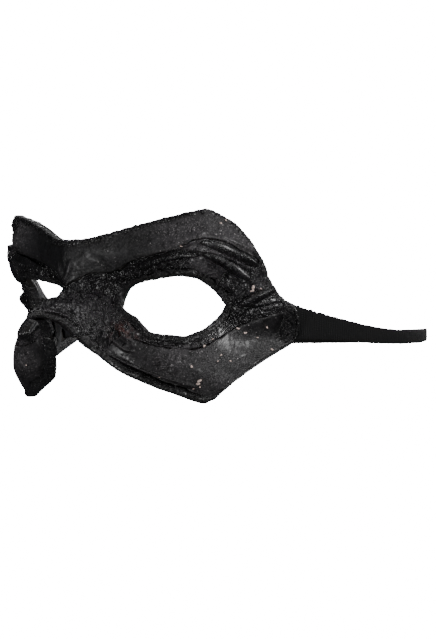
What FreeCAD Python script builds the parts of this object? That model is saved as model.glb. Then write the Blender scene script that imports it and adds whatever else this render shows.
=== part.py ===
import FreeCAD, Part
import math
import os

# An eye mask of layered leather over a stiff shaped base, with a sewn elastic strap.
# Units are millimetres.  The mask faces -Y, +X is the wearer's left and +Z is up.
# The origin is on the bridge of the nose, in the mask's mirror plane.
#
# Each half of the face lies over a plane that stands at 45 degrees to the mirror plane.
# On that plane p runs outwards and back from the nose, q runs up, and h is the height
# of the mask's outer face over it.  The right half is the left half mirrored.

Vector = FreeCAD.Vector
doc = FreeCAD.newDocument("eye_mask")

# ---------------------------------------------------------------- driving dimensions

sheet = doc.addObject("Spreadsheet::Sheet", "Dimensions")
DIMENSIONS = [
    ("frontSlope", 0.43), ("sideReach", 28.0), ("sideFall", 0.74), ("bendAt", 57.0),
    ("bendSoftness", 6.0), ("noseWall", 9.7), ("noseWallFall", 0.27), ("noseSoftness", 2.0),
    ("innerSocket", 11.5), ("outerSocket", 7.0), ("browRidge", 2.5), ("cheekSwell", 1.0),
    ("foreheadLean", 3.0), ("templeFlare", 11.0), ("hemCurl", 5.6),
    ("skinThickness", 1.25), ("baseThickness", 1.8), ("liningThickness", 0.6),
    ("glueGap", 0.15), ("overlayThickness", 1.0), ("threadThickness", 0.5),
    ("prismReach", 60.0), ("cutReach", 200.0),
    ("bandThickness", 1.3), ("bandHalfWidth", 6.2), ("hingeY", 76.4), ("hingeZ", -9.8),
    ("hingeGap", 0.35), ("padHeight", 60.0), ("padFloor", -40.0), ("backReach", 45.0),
]
for row, (alias, value) in enumerate(DIMENSIONS, start=1):
    sheet.set("A%d" % row, alias)
    sheet.set("B%d" % row, str(value))
    sheet.setAlias("B%d" % row, alias)
doc.recompute()


def dim(alias):
    """The value of one cell of the sheet."""
    return float(sheet.get(alias))


SKIN_IN = -dim("skinThickness")
BASE_OUT = SKIN_IN - dim("glueGap")
BASE_IN = BASE_OUT - dim("baseThickness")
LINING_OUT = BASE_IN - dim("glueGap")
LINING_IN = LINING_OUT - dim("liningThickness")
TAB_IN = LINING_OUT - dim("bandThickness")
OVERLAY_IN = dim("glueGap")
OVERLAY_OUT = OVERLAY_IN + dim("overlayThickness")
THREAD_IN = OVERLAY_OUT + dim("glueGap")
THREAD_OUT = THREAD_IN + dim("threadThickness")

# ---------------------------------------------------------------- the shape of the face


def step(value, low, high):
    """0 below low, 1 above high, and a smooth rise between."""
    t = min(1.0, max(0.0, (value - low) / (high - low)))
    return t * t * (3.0 - 2.0 * t)


def lesser(a, b, softness):
    return 0.5 * (a + b - math.sqrt((a - b) ** 2 + softness ** 2))


def greater(a, b, softness):
    return 0.5 * (a + b + math.sqrt((a - b) ** 2 + softness ** 2))


def hill(p, q, at_p, at_q, wide, tall):
    return math.exp(-((p - at_p) / wide) ** 2 - ((q - at_q) / tall) ** 2)


def relief(p, q):
    """Height h of the outer face over the 45-degree plane."""
    front = dim("frontSlope") * p
    wall = dim("noseWall") - dim("noseWallFall") * p
    nose = 1.0 - step(q, -4.0, 6.8)
    front += (greater(front, wall, dim("noseSoftness")) - front) * nose
    side = dim("sideReach") - dim("sideFall") * (p - dim("bendAt"))
    flare = step(q, -16.0, 0.0)
    flare += (0.3 - flare) * step(p, 94.0, 106.0)
    side += dim("templeFlare") * flare * step(p, 60.0, 80.0)
    h = lesser(front, side, dim("bendSoftness"))
    h -= dim("innerSocket") * hill(p, q, 23.0, 3.0, 15.0, 11.0)
    h -= dim("outerSocket") * hill(p, q, 56.0, -1.0, 20.0, 11.0)
    h += dim("browRidge") * hill(0.0, q, 0.0, 20.0, 1.0, 9.0) * step(p, 25.0, 50.0)
    h += dim("cheekSwell") * hill(p, q, 55.0, -24.0, 25.0, 12.0)
    h -= dim("foreheadLean") * step(q, 18.0, 34.0) * (1.0 - step(p, 42.0, 60.0))
    above_hem = q + 15.8 + 0.512 * (p - 5.4)
    h -= dim("hemCurl") * (1.0 - step(above_hem, 0.0, 15.0)) * step(p, 15.0, 34.0)
    return h


DIAGONAL = math.sqrt(0.5)


def on_face(p, q, offset):
    """The point at (p, q), moved out of the outer face by offset along its normal."""
    reach = 0.5
    slope_p = (relief(p + reach, q) - relief(p - reach, q)) / (2.0 * reach)
    slope_q = (relief(p, q + reach) - relief(p, q - reach)) / (2.0 * reach)
    scale = offset / math.sqrt(1.0 + slope_p ** 2 + slope_q ** 2)
    p_out = p - scale * slope_p
    q_out = q - scale * slope_q
    h_out = relief(p, q) + scale
    return Vector(DIAGONAL * (p_out + h_out), DIAGONAL * (p_out - h_out), q_out)


GRID_P = [-24.0 + 4.0 * i for i in range(34)]
GRID_Q = [-48.0 + 4.0 * j for j in range(25)]


def face_surface(offset):
    surface = Part.BSplineSurface()
    surface.interpolate([[on_face(p, q, offset) for q in GRID_Q] for p in GRID_P])
    return surface


def slab(name, inner, outer):
    """A closed sheet of one layer's thickness, larger than the mask all round."""
    low = face_surface(inner)
    high = face_surface(outer)
    first_u, last_u, first_v, last_v = low.bounds()
    faces = [low.toShape(), high.toShape()]
    for along_u, at in ((False, first_u), (False, last_u), (True, first_v), (True, last_v)):
        curves = [s.vIso(at) if along_u else s.uIso(at) for s in (low, high)]
        faces.append(Part.makeRuledSurface(curves[0].toShape(), curves[1].toShape()))
    solid = Part.makeSolid(Part.makeShell(faces))
    if solid.Volume < 0.0:
        solid.reverse()
    layer = doc.addObject("Part::Feature", name)
    layer.Shape = solid
    layer.Placement = FreeCAD.Placement()
    return layer


base_slab = slab("BaseSlab", BASE_IN, BASE_OUT)
skin_slab = slab("SkinSlab", SKIN_IN, 0.0)
lining_slab = slab("LiningSlab", LINING_IN, LINING_OUT)
tab_slab = slab("TabSlab", TAB_IN, LINING_OUT)
overlay_slab = slab("OverlaySlab", OVERLAY_IN, OVERLAY_OUT)
thread_slab = slab("ThreadSlab", THREAD_IN, THREAD_OUT)

# ---------------------------------------------------------------- outlines on the 45-degree plane

FACE_PLANE = FreeCAD.Placement(
    Vector(0, 0, 0),
    FreeCAD.Rotation(Vector(1, 1, 0), Vector(0, 0, 1), Vector(1, -1, 0), "ZXY"))


def draw(sketch, stretches):
    """Closed outline: each stretch is a smooth curve through its points, and the next
    stretch starts, at a corner, where it ends."""
    for number, points in enumerate(stretches):
        following = stretches[(number + 1) % len(stretches)][0]
        route = [Vector(x, y, 0) for x, y in points + [following]]
        if len(route) == 2:
            sketch.addGeometry(Part.LineSegment(route[0], route[1]))
        else:
            curve = Part.BSplineCurve()
            curve.interpolate(route)
            sketch.addGeometry(curve)


def prism(name, stretches):
    """An outline on the 45-degree plane, driven through the face."""
    sketch = doc.addObject("Sketcher::SketchObject", name + "Outline")
    sketch.Placement = FACE_PLANE
    draw(sketch, stretches)
    block = doc.addObject("Part::Extrusion", name + "Prism")
    block.Base = sketch
    block.DirMode = "Normal"
    block.Solid = True
    block.setExpression("LengthFwd", "Dimensions.prismReach")
    block.setExpression("LengthRev", "Dimensions.prismReach")
    return block


def common(name, base, tool):
    result = doc.addObject("Part::Common", name)
    result.Base = base
    result.Tool = tool
    return result


def cut(name, base, tool):
    result = doc.addObject("Part::Cut", name)
    result.Base = base
    result.Tool = tool
    return result


def mirrored(name, source):
    result = doc.addObject("Part::Mirroring", name)
    result.Source = source
    result.Normal = Vector(1, 0, 0)
    result.Base = Vector(0, 0, 0)
    return result


# The left half of space, to cut each half of the face at the mirror plane.
left_half = doc.addObject("Part::Box", "LeftHalf")
for side in ("Length", "Width", "Height"):
    left_half.setExpression(side, "Dimensions.cutReach")
left_half.setExpression("Placement.Base.y", "-Dimensions.cutReach / 2")
left_half.setExpression("Placement.Base.z", "-Dimensions.cutReach / 2")

# The two lids of the eye hole meet at its corners.
UPPER_LID = [(23.3, -1.4), (24.9, 2.8), (28.0, 5.8), (34.2, 8.1), (41.6, 9.2), (49.3, 10.0),
             (56.4, 8.1), (61.6, 4.1)]
LOWER_LID = [(66.4, -1.6), (63.6, -6.0), (57.9, -10.8), (50.7, -13.9), (43.5, -13.5),
             (36.0, -12.5), (30.4, -6.8), (26.0, -4.1)]
EYE_CENTRE = (46.0, -2.0)


def grown(points, by):
    """Points moved straight away from the middle of the eye."""
    moved = []
    for x, y in points:
        dx = x - EYE_CENTRE[0]
        dy = y - EYE_CENTRE[1]
        size = math.hypot(dx, dy)
        moved.append((x + dx * by / size, y + dy * by / size))
    return moved


def eye_outline(by):
    return [grown(UPPER_LID, by), grown(LOWER_LID, by)]


# The edge of the mask, as stretches between its corners.  Every outline below is made
# of these stretches or crosses them, so the layers share one edge.
PAST_MIDDLE = -22.0
TOP_EDGE = [(PAST_MIDDLE, 24.6), (2.0, 24.7), (12.0, 25.5), (28.0, 29.7), (45.0, 33.9)]
PEAK_EDGE = [(59.5, 36.9), (65.5, 33.6), (70.5, 30.4), (76.5, 23.6)]
SIDE_EDGE = [(82.0, 15.0), (84.0, 8.5), (90.0, 0.6)]
TEMPLE_EDGE = [(94.0, -1.6), (96.0, -9.8)]
JAW_EDGE = [(94.3, -16.5), (86.5, -20.9), (76.0, -27.4), (66.0, -34.8)]
CHEEK_TIP = [(60.4, -40.3), (57.0, -40.6)]
HEM_EDGE = [(54.0, -39.9), (48.0, -37.8), (35.8, -33.6), (23.7, -28.0), (14.7, -21.5)]
NOSE_EDGE = [(6.6, -14.9), (1.0, -9.8), (-2.2, -7.9), (-8.7, -6.2), (-13.3, -7.2)]
MIDDLE = [(PAST_MIDDLE, -8.0)]
FACE_OUTLINE = [TOP_EDGE, PEAK_EDGE, SIDE_EDGE, TEMPLE_EDGE, JAW_EDGE, CHEEK_TIP,
                HEM_EDGE, NOSE_EDGE, MIDDLE]

face_prism = prism("Face", FACE_OUTLINE)
eye_prism = prism("Eye", eye_outline(0.0))
eye_backing_prism = prism("EyeBacking", eye_outline(0.6))


def trimmed(name, stretches, eye_hole=None):
    """The left half of an outline within the mask's edge, less the eye hole."""
    shape = common(name + "InEdge", prism(name, stretches), face_prism)
    shape = common(name + "Half", shape, left_half)
    if eye_hole is not None:
        shape = cut(name + "Open", shape, eye_hole)
    return shape


sub_parts = []


def keep(label, shape):
    shape.Label = label
    sub_parts.append(shape)


def pair(label, layer, region):
    """A piece of one layer on the left, and its mirror image on the right."""
    left = common("left_" + label, layer, region)
    keep("left_" + label, left)
    keep("right_" + label, mirrored("right_" + label, left))


def across(label, layer, region):
    """One piece of a layer that runs across the middle of the mask."""
    left = common(label + "LeftHalf", layer, region)
    both = doc.addObject("Part::Fuse", label)
    both.Base = left
    both.Tool = mirrored(label + "RightHalf", left)
    both.Refine = True
    keep(label, both)


# ---------------------------------------------------------------- the layers of the mask

SEAM = 0.15      # half the gap between two pieces that meet edge to edge
FAR_OUT = 110.0
HIGH = 44.0
LOW = -46.0

everything = [[(PAST_MIDDLE, LOW)], [(FAR_OUT, LOW)], [(FAR_OUT, HIGH)], [(PAST_MIDDLE, HIGH)]]
across("base_shell", base_slab, trimmed("Base", everything, eye_backing_prism))

lining_edge = [[(2.2, 23.5), (12.0, 24.0), (28.0, 28.0), (45.0, 32.0)],
               [(58.5, 34.6), (69.0, 29.0), (75.5, 21.5)],
               [(80.5, 13.5), (82.0, 7.0)],
               [(84.5, 0.0), (84.5, -8.0)],
               [(84.0, -20.0), (75.0, -26.0), (65.0, -33.0)],
               [(59.5, -38.0), (50.0, -36.0), (36.0, -31.5), (25.0, -26.5)],
               [(9.0, -14.5)],
               [(4.0, -6.5)],
               [(4.0, 7.0)]]
pair("lining", lining_slab, trimmed("Lining", lining_edge, eye_backing_prism))

# The brow panel's lower edge runs out from the bridge to the inner eye, and from there
# over the eye and up to the side.
BROW_INNER = [(PAST_MIDDLE, 4.0), (0.5, 5.8), (11.0, 10.8)]
BROW_OUTER = [(19.6, 11.2), (28.4, 15.9), (43.5, 20.4), (55.3, 24.9), (63.9, 24.2),
              (74.1, 19.2)]
SIDE_END = (86.0, 14.5)


def shifted(points, up):
    return [(x, y + up) for x, y in points]


brow = [shifted(BROW_INNER, SEAM), shifted(BROW_OUTER, SEAM), shifted([SIDE_END], SEAM),
        [(FAR_OUT, HIGH)], [(PAST_MIDDLE, HIGH)]]
across("brow_panel", skin_slab, trimmed("Brow", brow))

# The nose panel reaches from the brow to the nose's lower edge and out to the eye.
nose = [shifted(BROW_INNER, -SEAM), shifted(BROW_OUTER[:1], -SEAM) + [(23.4, 4.0)],
        [(26.2, -0.4), (26.5, -6.5)], [(24.5, -13.0)], [(16.0, -26.0)], [(PAST_MIDDLE, -26.0)]]
across("nose_panel", skin_slab, trimmed("Nose", nose, eye_prism))

# The cheek panel's upper edge runs from under the inner eye out to the temple.
CHEEK_LINE = [(24.9, -13.0), (34.0, -17.2), (46.0, -19.0), (56.0, -18.6), (65.0, -13.9),
              (72.0, -9.8), (79.8, -7.3), (89.6, -4.1)]
TEMPLE_END = (100.0, -2.5)
cheek = [shifted(CHEEK_LINE, -SEAM), shifted([TEMPLE_END], -SEAM), [(FAR_OUT, LOW)],
         [(16.6, LOW)], [(16.6, -26.0)]]
pair("cheek_panel", skin_slab, trimmed("Cheek", cheek))

# The crumpled patch round the eye fills what the brow, nose and cheek panels leave.  Its
# upper edge is the brow's, drawn backwards and a little further out.
upper_edge = [(x + SEAM, y - SEAM) for x, y in reversed(BROW_OUTER + [SIDE_END])]
patch = [[upper_edge[-1], (23.8, 4.0)], [(26.6, -0.4), (26.9, -6.5)],
         shifted(CHEEK_LINE, SEAM), shifted([TEMPLE_END], SEAM), upper_edge[:-1]]
pair("eye_patch", skin_slab, trimmed("Patch", patch, eye_prism))

# ---------------------------------------------------------------- strips laid over the skin


def strip(spine, width):
    """A band of the given width along a spine of points, square at its ends."""
    upper = []
    lower = []
    last = len(spine) - 1
    for number, (x, y) in enumerate(spine):
        before = spine[max(number - 1, 0)]
        after = spine[min(number + 1, last)]
        dx = after[0] - before[0]
        dy = after[1] - before[1]
        size = math.hypot(dx, dy)
        across_x = -dy / size * width / 2.0
        across_y = dx / size * width / 2.0
        upper.append((x + across_x, y + across_y))
        lower.append((x - across_x, y - across_y))
    return [upper[:-1], [upper[-1]], list(reversed(lower))[:-1], [lower[0]]]


pair("eye_binding", overlay_slab,
     cut("BindingRing", trimmed("Binding", eye_outline(4.2)), eye_prism))

PLEATS = {
    "upper_pleat": ([(57.5, 22.6), (64.0, 21.6), (71.0, 18.4), (78.0, 14.2)], 3.6),
    "middle_pleat": ([(58.6, 17.6), (64.0, 15.6), (69.6, 12.2), (74.8, 8.4)], 3.6),
    "lower_pleat": ([(73.0, -1.6), (78.5, 1.2), (84.5, 4.2)], 3.2),
    "brow_fold": ([(31.0, 14.6), (40.0, 17.4), (48.0, 18.8), (54.5, 18.6)], 2.8),
}
for label, (spine, width) in PLEATS.items():
    pair(label, overlay_slab, trimmed(label.title().replace("_", ""), strip(spine, width)))

HEM_SPINE = [(55.5, -38.6), (47.0, -35.6), (35.8, -31.6), (24.0, -26.1), (15.0, -19.6), (8.6, -14.4)]
pair("hem", overlay_slab, trimmed("Hem", strip(HEM_SPINE, 3.6)))

TOP_SPINE = [(PAST_MIDDLE, 23.4), (2.0, 23.4), (12.0, 24.1), (28.0, 28.2), (45.0, 32.3), (58.0, 35.0)]
across("top_binding", overlay_slab, trimmed("TopBinding", strip(TOP_SPINE, 3.0)))

RIM_SPINE = [(7.2, -13.2), (1.4, -8.1), (-2.4, -6.2), (-8.8, -4.6), (-16.0, -6.0)]
across("nose_rim", overlay_slab, trimmed("NoseRim", strip(RIM_SPINE, 3.0)))

temple_patch = [[(88.6, 0.4), (87.4, -8.0), (88.0, -18.6)], [(100.0, -18.6)], [(100.0, 0.4)]]
pair("temple_patch", overlay_slab, trimmed("TemplePatch", temple_patch))

# ---------------------------------------------------------------- sewn ends of the strap

hinge_disc = doc.addObject("Part::Cylinder", "HingeDisc")
hinge_disc.Placement = FreeCAD.Placement(Vector(0, dim("hingeY"), dim("hingeZ")),
                                         FreeCAD.Rotation(Vector(0, 1, 0), 90))
hinge_disc.setExpression("Radius", "Dimensions.bandHalfWidth + Dimensions.hingeGap")
hinge_disc.setExpression("Height", "Dimensions.cutReach")

# The sewn end is wider than the free band, and its top edge slopes down to meet it.
TAB_FOOT = dim("hingeZ") - dim("bandHalfWidth")
tab = prism("Tab", [[(86.0, TAB_FOOT)], [(98.2, TAB_FOOT)], [(98.2, -3.0)], [(92.6, -0.2)],
                    [(86.0, -0.2)]])
pair("strap_tab", tab_slab, cut("TabClear", tab, hinge_disc))

# One thread zigzags up the temple patch and holds the sewn end.
STITCH_FRONT = 89.4
STITCH_REAR = 92.4
STITCH_LOW = -14.6
STITCH_RISE = 1.9
STITCH_COUNT = 7
zigzag = []
for number in range(STITCH_COUNT):
    stitch_p = STITCH_FRONT if number % 2 == 0 else STITCH_REAR
    zigzag.append((stitch_p, STITCH_LOW + STITCH_RISE * number))
HALF_THREAD = 0.4
thread = [[(x + HALF_THREAD, y)] for x, y in zigzag]
thread += [[(x - HALF_THREAD, y)] for x, y in reversed(zigzag)]
pair("strap_stitches", thread_slab, prism("Stitches", thread))

# ---------------------------------------------------------------- the elastic strap

# Half of the strap's loop seen from above, from the left sewn end to the back.
RUN_ROUTE = [(66.3, 68.0), (68.0, 78.0), (71.6, 92.0), (74.2, 108.0), (74.0, 126.0),
             (69.0, 143.5), (59.0, 160.5)]
RUN_END = (46.0, 173.4)
BACK_ROUTE = [(24.0, 184.6), (0.0, 188.6)]
MEET = 0.15      # half the gap between the side run and the back


def band(route):
    """Outline of a band of the strap's thickness along a route seen from above."""
    return strip(route, dim("bandThickness"))


def flipped(points):
    return [(-x, y) for x, y in points]


def origin_plane(body, role):
    return [plane for plane in body.Origin.OriginFeatures if plane.Role == role][0]


def sketch_in(body, name, role):
    sketch = body.newObject("Sketcher::SketchObject", name)
    sketch.AttachmentSupport = [(origin_plane(body, role), "")]
    sketch.MapMode = "FlatFace"
    return sketch


def strap_piece(label, plan, side_role, profile):
    """A band padded up from its plan, then cut to its height by a profile from the side."""
    body = doc.addObject("PartDesign::Body", label)
    plan_sketch = sketch_in(body, label + "Plan", "XY_Plane")
    plan_sketch.AttachmentOffset = FreeCAD.Placement(Vector(0, 0, dim("padFloor")),
                                                     FreeCAD.Rotation())
    draw(plan_sketch, plan)
    pad = body.newObject("PartDesign::Pad", label + "Pad")
    pad.Profile = plan_sketch
    pad.setExpression("Length", "Dimensions.padHeight")
    doc.recompute()
    padded = pad.Shape.Volume
    side_sketch = sketch_in(body, label + "Side", side_role)
    reach = dim("cutReach")
    draw(side_sketch, [[(-reach, -reach)], [(reach, -reach)], [(reach, reach)], [(-reach, reach)]])
    draw(side_sketch, profile)
    pocket = body.newObject("PartDesign::Pocket", label + "Height")
    pocket.Profile = side_sketch
    pocket.SideType = "Symmetric"
    pocket.setExpression("Length", "Dimensions.cutReach * 2")
    doc.recompute()
    if not 0.05 * padded < pocket.Shape.Volume < 0.6 * padded:
        raise RuntimeError(label + ": the pocket didn't cut the band to its height")
    keep(label, body)


def run_profile(upper, lower):
    """The side run from the side: a round end at the hinge, then two tapering edges."""
    hinge_y = dim("hingeY")
    hinge_z = dim("hingeZ")
    radius = dim("bandHalfWidth")
    nose_of_band = []
    for degrees in (270.0, 225.0, 180.0, 135.0):
        angle = math.radians(degrees)
        nose_of_band.append((hinge_y + radius * math.cos(angle), hinge_z + radius * math.sin(angle)))
    return [nose_of_band, [(hinge_y, hinge_z + radius)] + upper[:-1], [upper[-1]],
            list(reversed(lower))]


LEFT_UPPER = [(84.0, -5.7), (92.0, -7.6), (108.0, -10.8), (126.0, -12.5), (143.5, -12.4),
              (160.0, -11.9), (180.0, -13.0)]
LEFT_LOWER = [(84.0, -16.2), (92.0, -16.6), (108.0, -17.7), (126.0, -18.2), (143.5, -18.0),
              (160.0, -17.4), (180.0, -18.6)]
RIGHT_UPPER = [(84.0, -5.0), (92.0, -6.8), (106.0, -11.0), (124.0, -16.4), (142.0, -18.2),
               (160.0, -15.6), (180.0, -13.0)]
RIGHT_LOWER = [(84.0, -16.9), (92.0, -18.0), (106.0, -21.0), (124.0, -25.4), (142.0, -25.8),
               (160.0, -22.6), (180.0, -19.8)]

left_plan = band(RUN_ROUTE + [(RUN_END[0] + MEET, RUN_END[1] - MEET)])
right_plan = band(flipped(RUN_ROUTE + [(RUN_END[0] + MEET, RUN_END[1] - MEET)]))
strap_piece("strap_left_run", left_plan, "YZ_Plane", run_profile(LEFT_UPPER, LEFT_LOWER))
strap_piece("strap_right_run", right_plan, "YZ_Plane", run_profile(RIGHT_UPPER, RIGHT_LOWER))

back_start = (RUN_END[0] - MEET, RUN_END[1] + MEET)
back_plan = band([back_start] + BACK_ROUTE + list(reversed(flipped([back_start] + BACK_ROUTE[:-1]))))
BACK_END = dim("backReach") + 6.0
back_profile = [[(-BACK_END, -20.4), (0.0, -19.2)], [(BACK_END, -18.0)],
                [(BACK_END, -12.4), (0.0, -13.6)], [(-BACK_END, -14.0)]]
strap_piece("strap_back", back_plan, "XZ_Plane", back_profile)

# ---------------------------------------------------------------- check and write

doc.recompute()
for item in doc.Objects:
    if "Invalid" in item.State or "Error" in item.State:
        raise RuntimeError("failed object: " + item.Name)
os.makedirs("parts", exist_ok=True)
for item in sub_parts:
    shape = item.Shape
    if shape.isNull() or not shape.isValid() or len(shape.Solids) != 1:
        raise RuntimeError("bad shape: %s, %d solids" % (item.Label, len(shape.Solids)))
for item in sub_parts:
    item.Shape.exportStep(os.path.join("parts", item.Label + ".step"))
    print("%-18s %8.0f mm3" % (item.Label, item.Shape.Volume))
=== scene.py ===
import math

import bpy
import numpy as np
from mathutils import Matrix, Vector


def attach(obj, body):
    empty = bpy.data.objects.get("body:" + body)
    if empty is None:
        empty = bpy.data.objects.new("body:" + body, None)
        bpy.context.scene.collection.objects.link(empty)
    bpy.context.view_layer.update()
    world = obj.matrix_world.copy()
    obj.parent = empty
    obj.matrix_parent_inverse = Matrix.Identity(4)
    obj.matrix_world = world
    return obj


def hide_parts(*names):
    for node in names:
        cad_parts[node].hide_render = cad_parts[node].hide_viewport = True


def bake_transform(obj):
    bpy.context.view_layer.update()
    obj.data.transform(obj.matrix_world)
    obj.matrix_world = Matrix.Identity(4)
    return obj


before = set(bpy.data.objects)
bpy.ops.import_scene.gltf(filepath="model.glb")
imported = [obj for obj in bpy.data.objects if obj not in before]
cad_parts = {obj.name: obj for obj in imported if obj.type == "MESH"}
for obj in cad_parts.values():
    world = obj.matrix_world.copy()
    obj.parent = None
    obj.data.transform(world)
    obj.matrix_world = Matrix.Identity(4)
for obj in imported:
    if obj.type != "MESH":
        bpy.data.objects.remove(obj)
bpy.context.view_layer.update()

# Shapes are worked out in millimetres and put into the meshes in metres.
mm = 0.001
halfRoot = math.sqrt(0.5)

# Each half of the mask is drawn on a plane that stands at 45 degrees to the mirror plane.
# On that plane p runs outwards and back from the nose, q runs up, and h is the height of
# the leather's outer face over it.
face = {
    "frontSlope": 0.43, "sideReach": 28.0, "sideFall": 0.74, "bendAt": 57.0, "bendSoftness": 6.0,
    "noseWall": 9.7, "noseWallFall": 0.27, "noseSoftness": 2.0,
    "innerSocket": 11.5, "outerSocket": 7.0, "browRidge": 2.5, "cheekSwell": 1.0,
    "foreheadLean": 3.0, "templeFlare": 11.0, "hemCurl": 5.6,
    "ridgeRound": 0.8,           # how far the fold down the middle is rounded
    "skin": 1.25, "boardInside": -3.2, "liningFace": -3.9,
}


def rise(value, low, high):
    # 0 below low, 1 above high, a smooth step between
    t = np.clip((value - low) / (high - low), 0.0, 1.0)
    return t * t * (3.0 - 2.0 * t)


def lesser(a, b, softness):
    # the smaller, eased where the two meet: half of the sum less the softened difference
    return 0.5 * (a + b - np.sqrt((a - b) ** 2 + softness ** 2))


def greater(a, b, softness):
    # the larger, eased in the same way: half of the sum plus the softened difference
    return 0.5 * (a + b + np.sqrt((a - b) ** 2 + softness ** 2))


def hill(p, q, atP, atQ, wide, tall):
    # a bell shape: 1 at its top, e to the power of minus the squared distance beside it
    return np.exp(-((p - atP) / wide) ** 2 - ((q - atQ) / tall) ** 2)


def relief(p, q):
    # front slope and side slope meet at a soft bend; a steep wall makes the nose; two hollows
    # make the eye socket; the brow and cheek swell, and the lower edge curls in
    front = face["frontSlope"] * p
    wall = face["noseWall"] - face["noseWallFall"] * p
    nose = 1.0 - rise(q, -4.0, 6.8)
    front = front + (greater(front, wall, face["noseSoftness"]) - front) * nose
    side = face["sideReach"] - face["sideFall"] * (p - face["bendAt"])
    flare = rise(q, -16.0, 0.0)
    flare = flare + (0.3 - flare) * rise(p, 94.0, 106.0)
    side = side + face["templeFlare"] * flare * rise(p, 60.0, 80.0)
    h = lesser(front, side, face["bendSoftness"])
    h = h - face["innerSocket"] * hill(p, q, 23.0, 3.0, 15.0, 11.0)
    h = h - face["outerSocket"] * hill(p, q, 56.0, -1.0, 20.0, 11.0)
    h = h + face["browRidge"] * hill(0.0, q, 0.0, 20.0, 1.0, 9.0) * rise(p, 25.0, 50.0)
    h = h + face["cheekSwell"] * hill(p, q, 55.0, -24.0, 25.0, 12.0)
    h = h - face["foreheadLean"] * rise(q, 18.0, 34.0) * (1.0 - rise(p, 42.0, 60.0))
    aboveHem = q + 15.8 + 0.512 * (p - 5.4)
    return h - face["hemCurl"] * (1.0 - rise(aboveHem, 0.0, 15.0)) * rise(p, 15.0, 34.0)


def slopes(p, q):
    # how fast the height changes along p and along q, from heights either side of the point
    reach = 0.5
    alongP = (relief(p + reach, q) - relief(p - reach, q)) / (2.0 * reach)
    alongQ = (relief(p, q + reach) - relief(p, q - reach)) / (2.0 * reach)
    return alongP, alongQ


def lay(p, q, offset, middle=None):
    # the point over (p, q), moved off the outer face by offset along the normal; x can't
    # pass the mirror plane, and the fold there is rounded; middle marks points put on it
    alongP, alongQ = slopes(p, q)
    scale = offset / np.sqrt(1.0 + alongP ** 2 + alongQ ** 2)
    h = relief(p, q) + scale
    pOut = p - scale * alongP
    x = halfRoot * (pOut + h)
    y = halfRoot * (pOut - h)
    lean = np.clip((1.0 - alongP) / (1.0 + alongP), 0.0, 2.5)
    onPlane = x < 0.0
    if middle is not None:
        onPlane = onPlane | middle
    y = np.where(onPlane, y - lean * x, y)
    x = np.where(onPlane, 0.0, x)
    y = y + lean * (np.sqrt(x ** 2 + face["ridgeRound"] ** 2) - x)
    return np.stack([x, y, q - scale * alongQ], axis=-1)


def middleOf(q, offset):
    # p where the surface at that offset meets the mirror plane, by repeated substitution
    p = np.zeros_like(q)
    for _ in range(40):
        alongP, alongQ = slopes(p, q)
        scale = offset / np.sqrt(1.0 + alongP ** 2 + alongQ ** 2)
        p = 0.5 * p - 0.5 * (relief(p, q) + scale - scale * alongP)
    return p


def corner(i, j, seed):
    # a number from 0 to 1, the same on every run: what is left of a large sine past a whole number
    n = np.sin(i * 127.1 + j * 311.7 + seed * 74.7) * 43758.5453
    return n - np.floor(n)


def noise(x, y, seed):
    # a value at each whole-number corner, blended with a fifth-power curve
    i, j = np.floor(x), np.floor(y)
    u, v = x - i, y - j
    u = u * u * u * (u * (u * 6.0 - 15.0) + 10.0)
    v = v * v * v * (v * (v * 6.0 - 15.0) + 10.0)
    low = corner(i, j, seed) * (1.0 - u) + corner(i + 1, j, seed) * u
    high = corner(i, j + 1, seed) * (1.0 - u) + corner(i + 1, j + 1, seed) * u
    return low * (1.0 - v) + high * v


def cloud(x, y, size, layers, seed):
    # layers of noise, each half the size and half the height of the last, from -1 to 1
    total, height, reached = 0.0, 1.0, 0.0
    for layer in range(layers):
        turned = 0.7 * layer
        a = (x * math.cos(turned) - y * math.sin(turned)) / size
        b = (x * math.sin(turned) + y * math.cos(turned)) / size
        total = total + height * (2.0 * noise(a, b, seed + 13 * layer) - 1.0)
        reached += height
        height *= 0.5
        size *= 0.5
    return total / reached


def crumple(x, y, size, seed):
    # pinched ridges: the ground is bent first, then folded where the noise crosses zero
    bendX = x + size * 0.8 * cloud(x, y, size * 1.6, 2, seed + 5)
    bendY = y + size * 0.8 * cloud(x, y, size * 1.6, 2, seed + 9)
    big = 1.0 - np.abs(cloud(bendX, bendY, size, 1, seed)) * 2.2
    small = 1.0 - np.abs(cloud(bendX, bendY, size * 0.45, 1, seed + 3)) * 2.2
    return 0.65 * big + 0.35 * small


def curveThrough(points, count):
    # a smooth curve through the points, evenly spaced along its length
    points = np.array(points, float)
    if len(points) == 2:
        t = np.linspace(0.0, 1.0, count)[:, None]
        return points[0] * (1.0 - t) + points[1] * t
    ends = np.vstack([2 * points[0] - points[1], points, 2 * points[-1] - points[-2]])
    fine = []
    for a, b, c, d in zip(ends[:-3], ends[1:-2], ends[2:-1], ends[3:]):
        t = np.linspace(0.0, 1.0, 40, endpoint=False)[:, None]
        squared = (2 * a - 5 * b + 4 * c - d) * t ** 2
        cubed = (3 * b - a - 3 * c + d) * t ** 3
        fine.append(0.5 * (2 * b + (c - a) * t + squared + cubed))
    fine = np.vstack(fine + [points[-1:]])
    return resample(fine, count)


def resample(line, count):
    # the same line with its points evenly spaced along its length
    gone = np.concatenate([[0.0], np.cumsum(np.hypot(*np.diff(line, axis=0).T))])
    at = np.linspace(0.0, gone[-1], count)
    return np.stack([np.interp(at, gone, line[:, 0]), np.interp(at, gone, line[:, 1])], axis=-1)


def joined(stretches, count):
    # stretches meet at corners; the whole is evenly spaced
    lines = [curveThrough(stretch, 200) for stretch in stretches]
    line = np.vstack([lines[0]] + [more[1:] for more in lines[1:]])
    return resample(line, count)


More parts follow.
